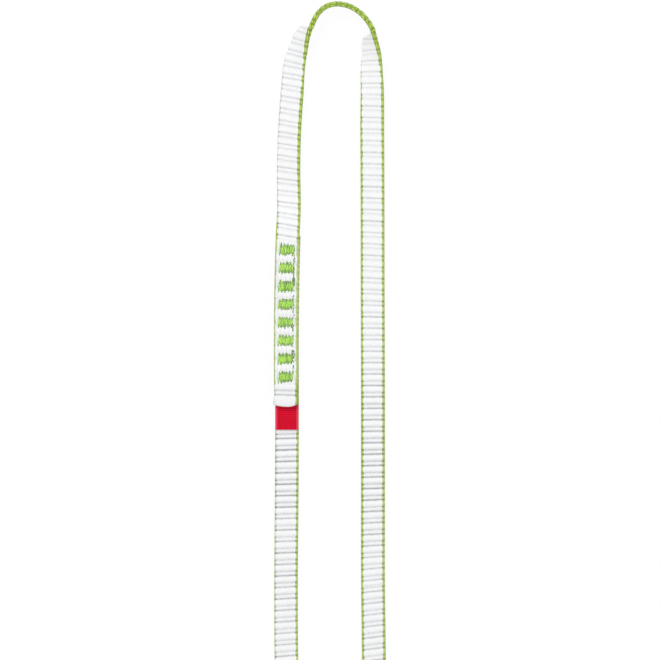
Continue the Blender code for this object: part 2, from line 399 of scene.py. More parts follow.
class Graph:
    """A node tree with short ways to add nodes and to join them."""

    def __init__(self, tree: bpy.types.NodeTree) -> None:
        """Keep the node tree of a material or of a shader group."""
        self.tree = tree

    def node(self, kind: str, values: dict | None = None, **options: object) -> bpy.types.Node:
        """Add a node.

        Args:
            kind: its type.
            values: a number, colour or socket for each input that isn't at its default.
            options: its properties.

        Returns:
            The new node.
        """
        made = self.tree.nodes.new(kind)
        for name, option in options.items():
            setattr(made, name, option)
        self.fill(made, values or {})
        return made

    def fill(self, node: bpy.types.Node, values: dict) -> None:
        """Give inputs their values.

        Args:
            node: the node.
            values: a number, colour or socket for each input, by name or place.
        """
        for name, value in values.items():
            if isinstance(value, bpy.types.NodeSocket):
                self.tree.links.new(value, node.inputs[name])
            else:
                node.inputs[name].default_value = value

    def maths(self, operation: str, *values: object) -> bpy.types.NodeSocket:
        """Return the result of a Math node on numbers or sockets."""
        return self.node("ShaderNodeMath", dict(enumerate(values)), operation=operation).outputs[0]

    def blend(self, share: object, first: object, second: object) -> bpy.types.NodeSocket:
        """Return the mix of two colours or sockets, with this share of the second."""
        mix = self.node("ShaderNodeMix", {0: share, 6: first, 7: second}, data_type="RGBA")
        return mix.outputs[2]


def new_group(
    name: str, inputs: list[tuple[str, Socket]], outputs: list[tuple[str, Socket]]
) -> tuple[bpy.types.NodeTree, Graph, bpy.types.Node, bpy.types.Node]:
    """Start a shader group.

    Args:
        name: the group's name.
        inputs: name and kind of each input.
        outputs: name and kind of each output.

    Returns:
        The group, its graph, its input node and its output node.
    """
    group = bpy.data.node_groups.new(name, "ShaderNodeTree")
    for way, sockets in (("INPUT", inputs), ("OUTPUT", outputs)):
        for socket, kind in sockets:
            group.interface.new_socket(name=socket, in_out=way, socket_type=kind.value)
    graph = Graph(group)
    return group, graph, graph.node("NodeGroupInput"), graph.node("NodeGroupOutput")


class Groups:
    """The effects that several finishes share, each built once."""

    STREAK_GAIN = 2.0

    def __init__(self) -> None:
        """Build the groups."""
        self.filaments = self._filaments()
        self.dye_and_shade = self._dye_and_shade()

    @staticmethod
    def _filaments() -> bpy.types.NodeTree:
        """Build the fine filaments of a yarn, which run along a surface's V direction.

        Returns:
            The group, which puts out their height and how light each is.
        """
        group, graph, given, result = new_group(
            "filaments",
            [("Cloth", Socket.VECTOR), ("Per mm", Socket.VALUE), ("Stretch", Socket.VALUE)],
            [("Height", Socket.VALUE), ("Streak", Socket.VALUE)],
        )
        parts = graph.node("ShaderNodeSeparateXYZ", {0: given.outputs["Cloth"]})
        sideways = graph.maths("MULTIPLY", parts.outputs["X"], given.outputs["Per mm"])
        lengthways = graph.maths("DIVIDE", parts.outputs["Y"], given.outputs["Stretch"])
        place = graph.node("ShaderNodeCombineXYZ", {"X": sideways, "Y": lengthways}).outputs[0]
        fine = graph.node(
            "ShaderNodeTexNoise", {"Vector": place, "Scale": 1.0, "Detail": 3.0, "Roughness": 0.6}
        )
        broad = graph.node(
            "ShaderNodeTexNoise",
            {"Vector": given.outputs["Cloth"], "Scale": 0.35, "Detail": 2.0, "Roughness": 0.5},
        )
        streak = graph.maths("MULTIPLY", fine.outputs["Fac"], broad.outputs["Fac"])
        streak = graph.maths("MULTIPLY", streak, Groups.STREAK_GAIN)
        graph.fill(result, {"Height": fine.outputs["Fac"], "Streak": streak})
        return group

    @staticmethod
    def _dye_and_shade() -> bpy.types.NodeTree:
        """Build the colour of a cloth: deep, as painted shade, in its hollows, full on its lit crests,
        streaked and worn.

        Returns:
            The group, which puts out the colour.
        """
        group, graph, given, result = new_group(
            "dye_and_shade",
            [(colour, Socket.COLOUR) for colour in ("Deep", "Full", "Pale")]
            + [(value, Socket.VALUE) for value in ("Shade", "Streak", "Streakiness", "Worn")],
            [("Colour", Socket.COLOUR)],
        )
        ground = graph.blend(given.outputs["Shade"], given.outputs["Deep"], given.outputs["Full"])
        streaks = (given.outputs["Streak"], given.outputs["Streakiness"], given.outputs["Worn"])
        share = graph.maths("MULTIPLY_ADD", *streaks)
        graph.fill(result, {"Colour": graph.blend(share, ground, given.outputs["Pale"])})
        return group


@dataclass(frozen=True)
class YarnFinish:
    """A finish of yarn or thread, whose filaments run along the piece."""

    name: str
    # deep is the colour painted in shade, full the colour in full light, pale that of streaks and wear.
    deep: Point
    full: Point
    pale: Point
    streakiness: float = 0.3
    roughness: float = 0.6
    sheen: float = 0.2
    specular: float = 0.35
    per_mm: float = 18.0
    stretch: float = 1.6
    relief: float = 0.03
    roughness_swing: float = 0.16
    bump_strength: float = 0.6
    sheen_roughness: float = 0.4

    def material(self, groups: Groups) -> bpy.types.Material:
        """Build the finish.

        Args:
            groups: the shared shader groups.

        Returns:
            The material.
        """
        material = bpy.data.materials.new(self.name)
        material.use_nodes = True
        graph = Graph(material.node_tree)
        cloth = graph.node("ShaderNodeUVMap", uv_map="cloth").outputs["UV"]
        shade, worn = (
            graph.node("ShaderNodeAttribute", attribute_name=key).outputs["Fac"]
            for key in ("shade", "worn")
        )
        fibres = graph.node(
            "ShaderNodeGroup",
            {"Cloth": cloth, "Per mm": self.per_mm, "Stretch": self.stretch},
            node_tree=groups.filaments,
        ).outputs
        colours = {"Deep": self.deep, "Full": self.full, "Pale": self.pale}
        values = {"Shade": shade, "Streak": fibres["Streak"], "Streakiness": self.streakiness, "Worn": worn}
        dye = graph.node(
            "ShaderNodeGroup",
            {key: (*colour, 1.0) for key, colour in colours.items()} | values,
            node_tree=groups.dye_and_shade,
        )
        smoothest = self.roughness - self.roughness_swing / 2
        height = fibres["Height"]
        bump = graph.node(
            "ShaderNodeBump",
            {"Height": height, "Strength": self.bump_strength, "Distance": self.relief * MM},
        )
        shader = {
            "Base Color": dye.outputs["Colour"],
            "Roughness": graph.maths("MULTIPLY_ADD", height, self.roughness_swing, smoothest),
            "Normal": bump.outputs["Normal"],
            "Sheen Weight": self.sheen,
            "Sheen Roughness": self.sheen_roughness,
            "Specular IOR Level": self.specular,
        }
        graph.fill(material.node_tree.nodes["Principled BSDF"], shader)
        return material


WHITE_YARN = YarnFinish(
    "white_yarn", (0.26, 0.26, 0.28), (0.89, 0.895, 0.90), (0.93, 0.93, 0.93), 0.20, 0.6, 0.1
)
CORE_YARN = YarnFinish("core_yarn", (0.5, 0.51, 0.5), (0.72, 0.73, 0.71), (0.8, 0.8, 0.79), 0.2, 0.7, 0.1)
EDGE_YARN = YarnFinish(
    "edge_yarn", (0.13, 0.21, 0.010), (0.57, 0.78, 0.105), (0.56, 0.63, 0.42), 0.16, 0.65, 0.05, 0.12, 14.0
)
SEWING_THREAD = YarnFinish(
    "sewing_thread", (0.05, 0.15, 0.02), (0.47, 0.83, 0.12), (0.68, 0.90, 0.38), 0.25, 0.5, 0.05, 0.15, 22.0
)
LABEL_RIBBON = YarnFinish(
    "label_ribbon", (0.27, 0.001, 0.010), (0.72, 0.003, 0.026), (0.74, 0.065, 0.12),
    0.06, 0.6, 0.0, 0.04, 9.0, 0.25,
)


# ---------------------------------------------------------------- the woven tape


@dataclass(frozen=True)
class Ribs:
    """The ribs, read at some distances along the tape.

    height is the relief from the nominal face, below it but for the highest crests; up is how far
    up its rib each place is, from 0 to 1; wide is 1 on a wide rib and 0 on a narrow one; dark is the
    painted shade that a groove casts on the cloth beside it, and passes 1 where the weave is tightest.
    """

    height: np.ndarray
    up: np.ndarray
    wide: np.ndarray
    dark: np.ndarray


@dataclass
class Weave:
    """The rhythm of the ground weave: wide and narrow ribs of lengthwise yarns, by turns."""

    space: TapeSpace
    wide_rib: float = 2.35
    narrow_rib: float = 1.34
    narrow_crest: float = -0.03
    weak_groove: float = 0.20
    strong_groove: float = 0.32
    deepest: float = 0.34
    highest: float = 0.02
    crest_uneven: float = 0.015
    groove_uneven: float = 0.10
    rib_flatness: float = 2.6
    rib_softness: float = 0.6
    shadow_reach: float = 0.30
    shadow_blur: float = 0.28
    clearance: float = 0.05
    first_rib: Stops = (
        (0, -3.03), (10, -3.03), (50, -1.3), (92, -1.3), (102, -0.9), (121, -0.9), (135, -1.5),
        (150, -2.35), (158, -2.2), (166, -1.95), (190, -1.6), (355, -1.6), (519, -0.16),
        (655, -0.16),
    )
    strong_before: Stops = (
        (0, 1), (30, 1), (45, 0), (92, 0), (100, 0.5), (128, 0.5), (140, 1), (222, 1), (240, 0),
        (435, 0), (445, 1), (655, 1),
    )
    tightness: Stops = (
        (0, 0.2), (1.5, 0.3), (2.6, 1.1), (5.6, 1.1), (6.3, 0.3), (52, 0.3), (54, 0.9), (122, 0.9),
        (130, 0.7), (180, 0.9), (225, 0.9), (245, 1), (265, 1.25), (282, 1.6), (308, 1.5),
        (320, 1.05), (519, 1.05), (559, 1.2), (572, 1.6), (600, 1.5), (655, 1.1),
    )
    slant_stops: Stops = (
        (0, -0.03), (40, -0.04), (52, -0.13), (62, -0.165), (72, -0.15), (91, -0.105),
        (100, -0.12), (114, -0.11), (121, -0.06), (130, 0), (140, 0), (148, 0.25), (156, 0.12),
        (166, 0.05), (182, 0.036), (208, 0.036), (221, 0.054), (234, 0.045), (247, 0.009),
        (273, -0.009), (298, -0.036), (324, -0.085), (350, -0.125), (365, -0.14), (470, 0.04),
        (519, 0.075), (543, 0.055), (568, 0.035), (600, 0.04), (655, 0),
    )
    rng: np.random.Generator = field(default_factory=lambda: np.random.default_rng(SEED))

    ROW_OFFSETS = (0.0, 0.10, 0.25, 0.55, 1.15, 1.75, 2.07, 2.25, 2.35, 2.45, 2.60, 3.02, 3.42, 3.58)
    FIRST = 2

    def __post_init__(self) -> None:
        """Draw the small differences from rib to rib."""
        self.ribs = int(self.space.end / self.repeat) + 2 + 2 * self.FIRST
        self.uneven_crest = self.rng.normal(0.0, self.crest_uneven, (self.ribs, 2))
        self.uneven_groove = self.rng.normal(1.0, self.groove_uneven, (self.ribs, 2))

    @property
    def repeat(self) -> float:
        """The length of one wide and one narrow rib."""
        return self.wide_rib + self.narrow_rib

    def rows(self, start: float, stop: float) -> np.ndarray:
        """Place the rings of vertices, closer together at the grooves.

        Args:
            start: where the stretch starts along the tape.
            stop: where it ends.

        Returns:
            The distance of each ring along the tape.
        """
        count = np.arange(-1, self.ribs)[:, None] * self.repeat
        every = (count + np.array(self.ROW_OFFSETS)[None, :]).ravel()
        every = every + read_stops(self.first_rib, every)
        inner = every[(every > start + self.clearance) & (every < stop - self.clearance)]
        return np.concatenate([[start], inner, [stop]])

    def slant(self, along: np.ndarray) -> np.ndarray:
        """Say how far a rib runs along the tape for each mm that it goes across it."""
        return read_stops(self.slant_stops, along)

    def relief(self, along: np.ndarray) -> Ribs:
        """Read the ribs.

        Args:
            along: distances along the tape.

        Returns:
            The ribs there.
        """
        phase = along - read_stops(self.first_rib, along)
        number = np.floor(phase / self.repeat).astype(int)
        phase = phase - number * self.repeat
        number = np.clip(number + self.FIRST, 0, self.ribs - 1)
        wide = phase < self.wide_rib
        part = np.where(wide, phase / self.wide_rib, (phase - self.wide_rib) / self.narrow_rib)
        length = np.where(wide, self.wide_rib, self.narrow_rib)
        up = (1 - np.abs(2 * part - 1) ** self.rib_flatness) ** self.rib_softness
        tight = read_stops(self.tightness, along)
        share = read_stops(self.strong_before, along)
        depth = self.strong_groove - self.weak_groove
        before_narrow = (self.weak_groove + depth * share) * tight * self.uneven_groove[number, 0]
        after_narrow = (self.weak_groove + depth * (1 - share)) * tight * self.uneven_groove[number, 1]
        first = np.where(wide, after_narrow, before_narrow)
        last = np.where(wide, before_narrow, after_narrow)
        floor = -(first + (last - first) * part)
        crest = np.where(wide, 0.0, self.narrow_crest) + self.uneven_crest[number, np.where(wide, 0, 1)]
        crest = np.minimum(crest, self.highest)
        share_first = np.where(wide, 1 - share, share)
        dark = first * self._shadow(part * length, share_first, wide)
        dark = dark + last * self._shadow((1 - part) * length, 1 - share_first, wide)
        return Ribs(floor + (crest - floor) * up, up, wide.astype(float), dark / self.deepest)

    def _shadow(self, away: np.ndarray, strong: np.ndarray, wide: np.ndarray) -> np.ndarray:
        """Say how a groove's darkness fades: sharply from a strong one, gently from a weak one."""
        reach = self.shadow_reach + self.shadow_blur * (1 - strong) * np.where(wide, 1.0, 0.0)
        return np.exp(-((away / reach) ** 2))


@dataclass(frozen=True)
class Binding:
    """How much of each dyed edge shows on the face that lies uppermost."""

    half_width: float = TAPE_WIDTH / 2
    flare: float = 0.3
    flare_run: float = 2.5
    dusk_run: Span = (0.2, 0.8)
    open_width: float = 0.45
    left: Stops = (
        (0, 0), (3, 0), (8, 0.28), (48, 0.30), (55, 0.34), (60, 0.16), (66, 0), (155, 0),
        (160, 0.14), (168, 0.28), (185, 0.47), (360, 0.56), (480, 0.13), (655, 0.13),
    )
    right: Stops = (
        (0, 0.62), (6, 0.60), (9, 0.36), (48, 0.38), (54, 0.56), (66, 0.56), (88, 0.55),
        (96, 0.50), (106, 0.20), (112, 0.25), (118, 0.50), (150, 0.50), (158, 0.35), (164, 0.22),
        (170, 0.40), (180, 0.64), (355, 0.66), (519, 0.51), (655, 0.51),
    )
    # Painted shade along the ground's left side: its strength along the tape.
    dusky: Stops = (
        (0, 0.12), (10, 0.05), (52, 0.10), (62, 0.28), (80, 0.18), (88, 0.24), (92, 0.46),
        (104, 0.38), (112, 0), (500, 0), (519, 0.24), (655, 0.24),
    )

    def shown(self, side: Side, along: np.ndarray) -> np.ndarray:
        """Return the width of an edge that shows, at distances along the tape."""
        return read_stops(self.left if side is Side.LEFT else self.right, along)

    def flared(self, side: Side, along: np.ndarray) -> np.ndarray | float:
        """Say how far the cloth's left side spreads out at the upper cut end."""
        return self.flare * fall(along, 0.0, self.flare_run) if side is Side.LEFT else 0.0

    def dusk(self, inset: np.ndarray, along: np.ndarray) -> np.ndarray:
        """Say how much painted shade darkens the ground at a distance from its left side."""
        return read_stops(self.dusky, along) * fall(inset, *self.dusk_run)

    def covered(self, side: Side, along: np.ndarray) -> np.ndarray:
        """Say where the ground closes over the edge: 1 where it does, 0 where the edge lies open."""
        return fall(self.shown(side, along), 0.0, self.open_width)


@dataclass
class StitchField:
    """The row of bar tacks in the lap, and what it does to the cloth round it."""

    space: TapeSpace
    count: int = 8
    pitch: float = 5.84
    first: float = 8.94
    length: float = 3.2
    width: float = 5.0
    shift: float = -0.1
    dent_depth: float = 0.25
    dent_flat: float = 0.2
    dent_edge: float = 0.7
    swell: float = 0.10
    swell_clear: float = 0.3
    held_edge: float = 0.8

    def middles(self) -> list[float]:
        """Return the distance of each tack from the upper cut end."""
        return [self.first + k * self.pitch for k in range(self.count)]

    def pull(self, from_end: np.ndarray) -> np.ndarray:
        """Say how far the stitches pull the cloth in (negative) or let it swell (positive).

        Args:
            from_end: distances from the start of the lap.

        Returns:
            The change in height at each distance.
        """
        near = np.min([np.abs(from_end - middle) for middle in self.middles()], axis=0)
        half = self.length / 2
        dent = self.dent_depth * fall(near, half - self.dent_flat, half + self.dent_edge)
        between = self.held(from_end) * self.swell * rise(near, half + self.swell_clear, self.pitch / 2)
        return between - dent

    def held(self, from_end: np.ndarray) -> np.ndarray:
        """Say where the cloth is held flat by the tacks.

        Args:
            from_end: distances from the start of the lap.

        Returns:
            1 among the tacks, 0 clear of them.
        """
        start = self.first - self.length / 2
        end = self.middles()[-1] + self.length / 2
        return rise(from_end, start - self.held_edge, start) * fall(from_end, end, end + self.held_edge)


@dataclass
class Ground:
    """The white ground of the tape: lengthwise yarns bound into ribs, over a plain core."""

    space: TapeSpace
    weave: Weave
    binding: Binding
    stitches: StitchField
    yarns: int = 13
    per_yarn: int = 4
    groove_inset: float = 0.24
    narrow_inset: float = 0.12
    yarn_depth: float = 0.07
    yarn_stagger: float = 0.5
    open_radius: float = 0.35
    radius_gain: float = 0.25
    open_drop: float = 0.40
    closed_drop: float = 0.80
    gather: float = 1.35
    drifts: tuple[Point, ...] = ((0.5, 2.9, 0.0), (0.4, 1.7, 1.0))
    drift_share: float = 0.5
    fold_depth: float = 0.03
    held_flatness: float = 0.85
    side_hold: float = 0.8
    side_run: Span = (2.5, 3.3)
    thinnest: float = 0.02
    end_rows: Stops = ((0.0, 0.96), (0.10, 0.82), (0.16, 0.55))
    bow: float = 0.62
    bow_run: float = 2.4
    bow_sharpness: float = 2.4
    hidden_bow: float = 0.3
    hidden_bow_run: float = 3.0
    plain_shade: float = 0.93
    bend_gain: float = 0.07
    bend_in: Span = (120.0, 148.0)
    bend_out: Span = (158.0, 175.0)
    end_loss: float = 0.05
    end_run: Span = (5.0, 9.0)
    sewn_shade: float = 0.91
    bundle_dark: float = 0.10
    fold_dark: float = 0.14
    cut_dark: float = 0.12
    cut_run: float = 0.7
    dusk_gain: float = 1.2
    groove_dark: float = 0.42
    groove_uneven: float = 0.22
    darkest: float = 0.95
    core_half_width: float = 2.95
    core_half_height: float = 0.22
    core_squareness: float = 0.6
    core_sides: int = 16
    core_inset: float = 0.5
    core_step: float = 1.2
    core_shade: float = 0.8
    core_girth: float = 12.0
    cuts: tuple[float, ...] = (0.25, 0.5, 0.75)
    rng: np.random.Generator = field(default_factory=lambda: np.random.default_rng(SEED + 2))

    def skin(self, start: float, stop: float) -> Skin:
        """Model one stretch of the ground.

        Args:
            start: where it starts along the tape.
            stop: where it ends.

        Returns:
            The stretch in tape space.
        """
        rows, squash = self._rows(start, stop)
        ribs = self.weave.relief(rows)
        columns = np.linspace(-1.0, 1.0, self.yarns * self.per_yarn + 1)
        reach = {side: self._reach(side, rows, ribs) for side in Side}
        half = np.where(columns[None, :] < 0, *(reach[side][:, None] for side in Side))
        across = columns[None, :] * half
        yarn = (columns + 1) / 2 * self.yarns + self.yarn_stagger * (1 - ribs.wide[:, None])
        bundle = np.sqrt(unit(1 - (2 * (yarn % 1.0) - 1) ** 2))
        yarn_relief = -self.yarn_depth * (1 - bundle) * np.sqrt(ribs.up)[:, None]
        edge = self._edge(rows, across, reach)
        lower = rows - self.space.route.length
        held = np.maximum(self.stitches.held(rows), self.stitches.held(lower))[:, None]
        folds = self._folds(rows, across)
        inside = 1 - self.side_hold * rise(np.abs(across), *self.side_run)
        faces = []
        for way, from_end in ((1, rows), (-1, lower)):
            flat = self.stitches.held(from_end)
            pull = self.stitches.pull(from_end)
            relief = (ribs.height * (1 - self.held_flatness * flat))[:, None] + pull[:, None] * inside
            gathered = -self.fold_depth * folds * flat[:, None]
            face = self.space.thickness / 2 + relief + yarn_relief + gathered - edge
            faces.append(way * np.maximum(face, self.thinnest) * squash[:, None])
        along = rows[:, None] + self.weave.slant(rows)[:, None] * across
        along = along + self._bow(rows)[:, None] * (1 - np.abs(columns[None, :]) ** self.bow_sharpness)
        shade = self._shade(rows, ribs, yarn, bundle, folds, held)
        # Painted shade along the ground's left side, deeper at the grooves.
        dusk = self.binding.dusk(across + reach[Side.LEFT][:, None], rows[:, None])
        shade = shade - dusk * (1 + self.dusk_gain * unit(ribs.dark)[:, None])
        return Skin(
            both_faces(across, across),
            both_faces(*faces),
            both_faces(along, along),
            unit(both_faces(shade, shade)),
            girth=4 * self.binding.half_width,
        )

    def _shade(
        self,
        rows: np.ndarray,
        ribs: Ribs,
        yarn: np.ndarray,
        bundle: np.ndarray,
        folds: np.ndarray,
        held: np.ndarray,
    ) -> np.ndarray:
        """Say how light the ground is: lightest in the bend, with painted light on its flaps, painted shade
        in grooves, between yarns and in folds, and darker at the cut end.

        Args:
            rows: distances along the tape.
            ribs: the ribs there.
            yarn: which yarn each place is on.
            bundle: how far up its yarn each place is.
            folds: the folds beside the stitches.
            held: where the cloth is held by the stitches.

        Returns:
            The shade at each place.
        """
        # Painted light on the far bend's flaps; painted shade in the grooves, between yarn bundles and in
        # the folds.
        raised = rise(rows, *self.bend_in) * fall(rows, *self.bend_out)
        plain = self.plain_shade + self.bend_gain * raised - self.end_loss * fall(rows, *self.end_run)
        ridged = plain[:, None] - self._dark(ribs, yarn) - self.bundle_dark * (1 - bundle)
        sewn = self.sewn_shade - self.bundle_dark * (1 - bundle) - self.fold_dark * folds
        cut = self.cut_dark * fall(rows, 0.0, self.cut_run)[:, None]
        return ridged * (1 - held) + sewn * held - cut

    def _rows(self, start: float, stop: float) -> tuple[np.ndarray, np.ndarray]:
        """Place the rings of a stretch; cut ends close softly.

        Args:
            start: where it starts along the tape.
            stop: where it ends.

        Returns:
            The distance of each ring, and how thick the tape is there.
        """
        rows = self.weave.rows(start, stop)
        squash = np.ones_like(rows)
        if start <= 0.0:
            ahead = [(start - reach, share) for reach, share in reversed(self.end_rows)]
            rows = np.concatenate([[place for place, _ in ahead], rows[1:]])
            squash = np.concatenate([[share for _, share in ahead], squash[1:]])
        if stop >= self.space.end:
            behind = [(stop + reach, share) for reach, share in self.end_rows]
            rows = np.concatenate([rows[:-1], [place for place, _ in behind]])
            squash = np.concatenate([squash[:-1], [share for _, share in behind]])
        return rows, squash

    def _reach(self, side: Side, rows: np.ndarray, ribs: Ribs) -> np.ndarray:
        """Say how far the ground reaches to one side: farthest on the wide ribs.

        Args:
            side: which side.
            rows: distances along the tape.
            ribs: the ribs there.

        Returns:
            The distance from the middle line.
        """
        reach = self.binding.half_width - self.binding.shown(side, rows)
        inset = self.groove_inset * (1 - ribs.up**0.5) + self.narrow_inset * (1 - ribs.wide)
        inset = inset * (1 - self.stitches.held(rows))
        return reach - inset + self.binding.flared(side, rows)

    def _edge(self, rows: np.ndarray, across: np.ndarray, reach: dict[Side, np.ndarray]) -> np.ndarray:
        """Round the ground off at its sides.

        Args:
            rows: distances along the tape.
            across: each place's distance from the middle line.
            reach: how far the ground reaches to each side.

        Returns:
            How far it falls away from its face at each place.
        """
        away = np.zeros_like(across)
        for side in Side:
            covered = self.binding.covered(side, rows)[:, None]
            radius = self.open_radius + self.radius_gain * covered
            inward = unit((side * across - reach[side][:, None] + radius) / radius)
            drop = self.open_drop + (self.closed_drop - self.open_drop) * covered
            away = away + drop * (1 - np.sqrt(1 - inward**2))
        return away

    def _folds(self, rows: np.ndarray, across: np.ndarray) -> np.ndarray:
        """Gather the cloth into lengthwise folds beside the stitching.

        Args:
            rows: distances along the tape.
            across: each place's distance from the middle line.

        Returns:
            1 in the hollows of the folds, 0 on their crests.
        """
        drift = sum(size * np.sin(rows / run + phase) for size, run, phase in self.drifts)[:, None]
        turn = 2 * math.pi * (across + drift * self.drift_share) / self.gather
        return (0.5 + 0.5 * np.cos(turn)) ** 2

    def _dark(self, ribs: Ribs, yarn: np.ndarray) -> np.ndarray:
        """Say how much painted shade the grooves put on the cloth, a little different from yarn to yarn.

        Args:
            ribs: the ribs, one for each ring.
            yarn: which yarn each place is on.

        Returns:
            What the grooves take off the shade.
        """
        speck = self.rng.normal(1.0, self.groove_uneven, (len(ribs.up), self.yarns + 1))
        chosen = np.take_along_axis(speck, np.clip(yarn.astype(int), 0, self.yarns), axis=1)
        return np.clip(self.groove_dark * ribs.dark[:, None] * chosen, 0.0, self.darkest)

    def _bow(self, rows: np.ndarray) -> np.ndarray:
        """Bow the cloth out at the upper cut end, and a little at the hidden one."""
        hidden = rise(rows, self.space.end - self.hidden_bow_run, self.space.end)
        return -self.bow * fall(rows, 0.0, self.bow_run) + self.hidden_bow * hidden

    def core(self) -> Skin:
        """Model the plain core inside the ribs, from one cut end to the other.

        Returns:
            The core in tape space.
        """
        rows = np.arange(self.core_inset, self.space.end - self.core_inset, self.core_step)
        angles = ring_angles(self.core_sides)
        across = self.core_half_width * squared(np.cos(angles), self.core_squareness)
        height = self.core_half_height * squared(np.sin(angles), self.core_squareness)
        ones = np.ones((len(rows), 1))
        return Skin(
            ones * across[None, :],
            ones * height[None, :],
            rows[:, None] * np.ones((1, len(angles))),
            np.full((len(rows), len(angles)), self.core_shade),
            girth=self.core_girth,
        )

    def build(self, groups: Groups) -> list[bpy.types.Object]:
        """Make the core and the ribs in four stretches.

        Args:
            groups: the shared shader groups.

        Returns:
            The core, then the four stretches.
        """
        repeat = self.weave.repeat
        length = self.space.end
        mesh = self.core().mesh("tape_core", self.space)
        core = add_piece(mesh, CORE_YARN.material(groups), "tape_white", "tape")
        cuts = [0.0, *(round(length * share / repeat) * repeat for share in self.cuts), length]
        finish = WHITE_YARN.material(groups)
        ribs = []
        for number, (start, stop) in enumerate(zip(cuts, cuts[1:]), start=1):
            mesh = self.skin(start, stop).mesh(f"tape_ribs_{number}", self.space)
            ribs.append(add_piece(mesh, finish, "tape_white", "tape"))
        return [core, *ribs]


@dataclass
class Selvedge:
    """The dyed yarns bound along one edge of the tape: two twisted rows, laid against each other."""

    space: TapeSpace
    weave: Weave
    binding: Binding
    side: Side
    middle: float = 3.38
    half_width: float = 0.52
    half_height: float = 0.84
    rows_of_yarn: int = 2
    row_depth: float = 0.12
    twist: float = 1.9
    twist_depth: float = 0.07
    step: float = 0.2
    ring: int = 28
    squareness: float = 0.75
    outer_gain: float = 1.5
    twist_sharpness: float = 0.7
    pinch: float = 0.07
    lean: float = 0.6
    stagger: float = 0.37
    covered_narrow: float = 0.12
    covered_low: float = 0.34
    sunk_high: float = 0.7
    girth: float = 4.4
    worn_groove: float = 0.7
    end_dark: float = 0.75
    end_run: Span = (5.5, 8.0)
    tone_range: Span = (0.65, 1.15)
    shade_gain: float = 1.3
    shade_power: float = 1.7
    shade_loss: float = 0.03
    least_round: float = 0.15
    straight_shade: float = 0.82
    straightness: float = 0.55
    groove_dark: float = 0.95
    groove_reach: float = 1.5
    cut_dark: float = 0.7
    cut_run: float = 0.6
    hidden_dark: float = 0.5
    hidden_run: Span = (46.0, 52.0)
    bend_in: Span = (112.0, 122.0)
    bend_out: Span = (148.0, 160.0)
    worn: Stops = (
        (0, 0.15), (6, 0.15), (9, 0.34), (48, 0.34), (56, 0.10), (112, 0.10), (122, 0), (148, 0),
        (160, 0.14), (270, 0.18), (300, 0.25), (355, 0.25), (519, 0.30), (655, 0.30),
    )
    rng: np.random.Generator = field(default_factory=lambda: np.random.default_rng(SEED + 3))

    def skin(self) -> Skin:
        """Model the edge.

        Returns:
            The edge in tape space.
        """
        rows = np.arange(0.0, self.space.end + self.step / 2, self.step)[:, None]
        angles = ring_angles(self.ring)[None, :]
        out = squared(np.cos(angles), self.squareness)
        high = squared(np.sin(angles), self.squareness)
        level = (high + 1) / 2 * self.rows_of_yarn
        row = np.clip(np.floor(level), 0, self.rows_of_yarn - 1)
        inside_row = 2 * (level - row) - 1
        roundness = np.sqrt(unit(1 - inside_row**2))
        way = 1 - 2 * (row % 2)
        turns = rows / self.twist + way * inside_row * self.lean + row * self.stagger
        ridge = np.abs(np.sin(math.pi * turns))
        outer = unit(out * self.outer_gain)
        between = self.twist_depth * (1 - ridge**self.twist_sharpness)
        sunk = self.row_depth * (1 - roundness) * outer + between
        ribs = self.weave.relief(rows[:, 0])
        covered = self.binding.covered(self.side, rows)
        pinch = self.pinch * (1 - ribs.up)[:, None] * outer
        half_width = self.half_width - self.covered_narrow * covered
        half_height = self.half_height - self.covered_low * covered
        flare = self.binding.flared(self.side, rows)
        across = self.side * (self.middle + flare + out * (half_width - sunk) - pinch)
        height = high * (half_height - self.sunk_high * sunk)
        along = rows + self.weave.slant(rows) * self.side * self.middle + 0 * angles
        shade = self._shade(rows, row, ridge, roundness, ribs, turns)
        # Painted shadow on the right edge's outer side near the upper cut end, beside the label's tail.
        if self.side is Side.RIGHT:
            shade = shade * (1 - self.end_dark * outer * fall(rows, *self.end_run))
        # The wear is held back at the grooves, so that their painted shade stays dark.
        clear = 1 - self.worn_groove * unit(ribs.dark)[:, None]
        worn = read_stops(self.worn, rows) * clear + 0 * angles
        return Skin(across, height, along, shade, worn, girth=self.girth)

    def _shade(
        self,
        rows: np.ndarray,
        row: np.ndarray,
        ridge: np.ndarray,
        roundness: np.ndarray,
        ribs: Ribs,
        turns: np.ndarray,
    ) -> np.ndarray:
        """Say how light each place is: painted light on the twists, painted shade between them and at the
        grooves.

        Args:
            rows: distances along the tape.
            row: which row of yarn each place is on.
            ridge: how far up its twist each place is.
            roundness: how far up its row each place is.
            ribs: the ribs, one for each ring.
            turns: which twist each place is on, counted from the cut end.

        Returns:
            The shade at each place.
        """
        tones = self.rng.uniform(*self.tone_range, (self.rows_of_yarn, int(turns.max()) + 3))
        tone = tones[np.broadcast_to(row, turns.shape).astype(int), np.clip(turns.astype(int), 0, None)]
        shade = self.shade_gain * ridge**self.shade_power - self.shade_loss
        shade = shade * (self.least_round + (1 - self.least_round) * roundness) * tone
        shade = shade + (self.straight_shade - shade) * self.straightness * self._straight(rows)
        grooved = 1 - self.groove_dark * unit(self.groove_reach * ribs.dark)[:, None]
        cut = 1 - self.cut_dark * fall(rows, 0.0, self.cut_run)
        shade = shade * grooved * cut
        if self.side is Side.LEFT:
            shade = shade * (1 - self.hidden_dark * fall(rows, *self.hidden_run))
        return unit(shade)

    def _straight(self, rows: np.ndarray) -> np.ndarray:
        """Say where the edge runs straight and its painted twist shade is evened out: 0 in the far bend."""
        return 1 - rise(rows, *self.bend_in) * fall(rows, *self.bend_out)

    def build(self, groups: Groups) -> bpy.types.Object:
        """Make the edge, standing for its CAD node.

        Args:
            groups: the shared shader groups.

        Returns:
            The piece.
        """
        which = self.side.name.lower()
        mesh = self.skin().mesh(f"edge_yarns_{which}", self.space)
        return add_piece(mesh, EDGE_YARN.material(groups), "edge_green", f"selvedge_{which}")


# ---------------------------------------------------------------- the stitching


